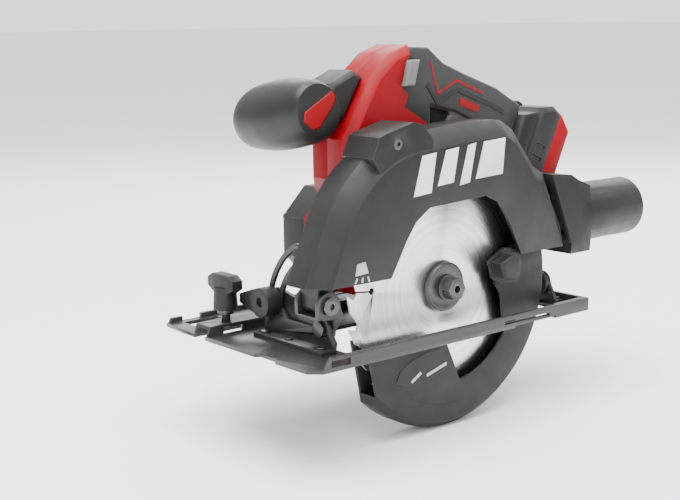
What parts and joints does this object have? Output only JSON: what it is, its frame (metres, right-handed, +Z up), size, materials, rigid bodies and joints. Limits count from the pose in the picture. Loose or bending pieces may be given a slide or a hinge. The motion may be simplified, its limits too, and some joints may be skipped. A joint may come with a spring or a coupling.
{
  "type": "cordless circular saw",
  "caption": "Cordless circular saw with a steel blade under a black fixed guard and a swinging lower guard, red motor and handle body, tilting shoe and a sliding battery.",
  "frame": {"origin": "on the sole of the shoe, below the spindle, in the middle plane of the blade", "axes": "+X is the cutting direction, +Y is the blade side (the saw's left), +Z is up from the sole"},
  "size_m": [0.3238, 0.1616, 0.2496],
  "materials": {
    "blade_steel": "circular brushed",
    "dark_steel": "black oxide",
    "copper": "satin",
    "carbon": "matt",
    "gear_metal": "cast, satin",
    "black_plastic": "fine texture",
    "grey_plastic": "satin",
    "red_plastic": "satin",
    "grip_rubber": "matt",
    "black_paint": "satin powder coat",
    "lens": "clear",
    "board": "matt",
    "cell_wrap": "gloss"
  },
  "bodies": {
    "shoe": {"shoe_plate": "black_paint", "front_bracket": "black_paint", "rear_bracket": "black_paint", "bracket_rivets": "dark_steel"},
    "fence_clamp": {"fence_clamp_screw": "dark_steel", "fence_clamp_knob": "black_plastic"},
    "bevel_frame": {"front_tilt_bracket": "black_paint", "rear_tilt_bracket": "black_paint", "tilt_pins": "dark_steel", "bevel_bolt": "dark_steel", "depth_pivot_screw": "dark_steel"},
    "bevel_lever": {"bevel_lock_lever": "black_plastic"},
    "saw": {"gear_cover": "gear_metal", "gear_housing": "gear_metal", "spindle_bearings": "dark_steel", "retaining_ring": "dark_steel", "motor_housing": "red_plastic", "motor_end_cap": "black_plastic", "motor_magnet_can": "dark_steel", "motor_bearings": "dark_steel", "motor_brushes": "carbon", "motor_screws": "dark_steel", "upper_guard": "black_plastic", "guard_screw": "dark_steel", "light_housing": "black_plastic", "light_lens": "lens", "dust_port": "black_plastic", "depth_bolt": "dark_steel", "handle_shell_left": "red_plastic", "handle_shell_right": "red_plastic", "handle_grip": "grip_rubber", "housing_screws": "dark_steel", "switch_module": "black_plastic", "control_board": "board", "aux_handle_core": "black_plastic", "aux_handle_grip": "black_plastic", "aux_handle_inlay": "red_plastic", "battery_rail": "black_plastic", "battery_terminals": "copper"},
    "blade_unit": {"saw_blade": "blade_steel", "inner_flange": "dark_steel", "outer_flange": "dark_steel", "blade_bolt": "dark_steel", "spindle": "dark_steel", "spindle_gear": "dark_steel"},
    "rotor": {"rotor_shaft": "dark_steel", "rotor_core": "dark_steel", "commutator": "copper", "motor_fan": "black_plastic"},
    "blade_guard": {"lower_guard": "black_plastic", "guard_lever": "black_plastic", "guard_spring": "dark_steel"},
    "switch_trigger": {"trigger": "black_plastic"},
    "lock_off": {"lock_off_button": "grey_plastic"},
    "spindle_lock": {"spindle_lock_button": "black_plastic"},
    "depth_lever": {"depth_lock_lever": "black_plastic"},
    "battery": {"battery_case": "black_plastic", "battery_cap": "red_plastic", "battery_cells": "cell_wrap"},
    "pack_latch": {"battery_latch": "black_plastic"}
  },
  "joints": [
    {"name": "bevel_tilt", "type": "hinge", "parent": "shoe", "child": "bevel_frame", "pos_m": [0, -0.004, 0.016], "axis": [1, 0, 0], "range_deg": [-50, 0]},
    {"name": "depth_swing", "type": "hinge", "parent": "bevel_frame", "child": "saw", "pos_m": [0.1044, 0, 0.0333], "axis": [0, 1, 0], "range_deg": [0, 31]},
    {"name": "bevel_lock", "type": "hinge", "parent": "bevel_frame", "child": "bevel_lever", "pos_m": [0.1, -0.05144, 0.02608], "axis": [1, 0, 0], "range_deg": [-45, 0]},
    {"name": "depth_lock", "type": "hinge", "parent": "saw", "child": "depth_lever", "pos_m": [-0.04539, -0.025, 0.04115], "axis": [0, 1, 0], "range_deg": [0, 25]},
    {"name": "fence_clamp_turn", "type": "hinge", "parent": "shoe", "child": "fence_clamp", "pos_m": [0.113, -0.086, 0.02], "axis": [0, 0, 1], "range_deg": [-180, 180]},
    {"name": "blade_spin", "type": "hinge", "parent": "saw", "child": "blade_unit", "pos_m": [0, 0, 0.0285], "axis": [0, 1, 0], "continuous": true},
    {"name": "rotor_spin", "type": "hinge", "parent": "saw", "child": "rotor", "pos_m": [0.01408, -0.06, 0.05499], "axis": [0, 1, 0], "continuous": true},
    {"name": "guard_swing", "type": "hinge", "parent": "saw", "child": "blade_guard", "pos_m": [0, 0, 0.0285], "axis": [0, 1, 0], "range_deg": [0, 122], "stiffness_Nm_per_rad": 0.15, "springref_deg": -51.57},
    {"name": "trigger_pull", "type": "hinge", "parent": "saw", "child": "switch_trigger", "pos_m": [-0.017, -0.042, 0.149], "axis": [0, 1, 0], "range_deg": [0, 10], "stiffness_Nm_per_rad": 1.5, "springref_deg": -8.59},
    {"name": "lock_off_press", "type": "slide", "parent": "saw", "child": "lock_off", "axis": [0, -1, 0], "range_m": [0, 0.003], "stiffness_N_per_m": 300, "springref_m": -0.003},
    {"name": "spindle_lock_press", "type": "slide", "parent": "saw", "child": "spindle_lock", "axis": [-1, 0, 0], "range_m": [0, 0.003], "stiffness_N_per_m": 300, "springref_m": -0.003},
    {"name": "battery_slide", "type": "slide", "parent": "saw", "child": "battery", "axis": [-0.4352, 0, 0.9003], "range_m": [0, 0.07]},
    {"name": "latch_press", "type": "slide", "parent": "battery", "child": "pack_latch", "axis": [0.4352, 0, -0.9003], "range_m": [0, 0.0025], "stiffness_N_per_m": 300, "springref_m": -0.003}
  ],
  "couplings": [
    {"joint": "rotor_spin", "follows": "blade_spin", "ratio": -3.8}
  ]
}
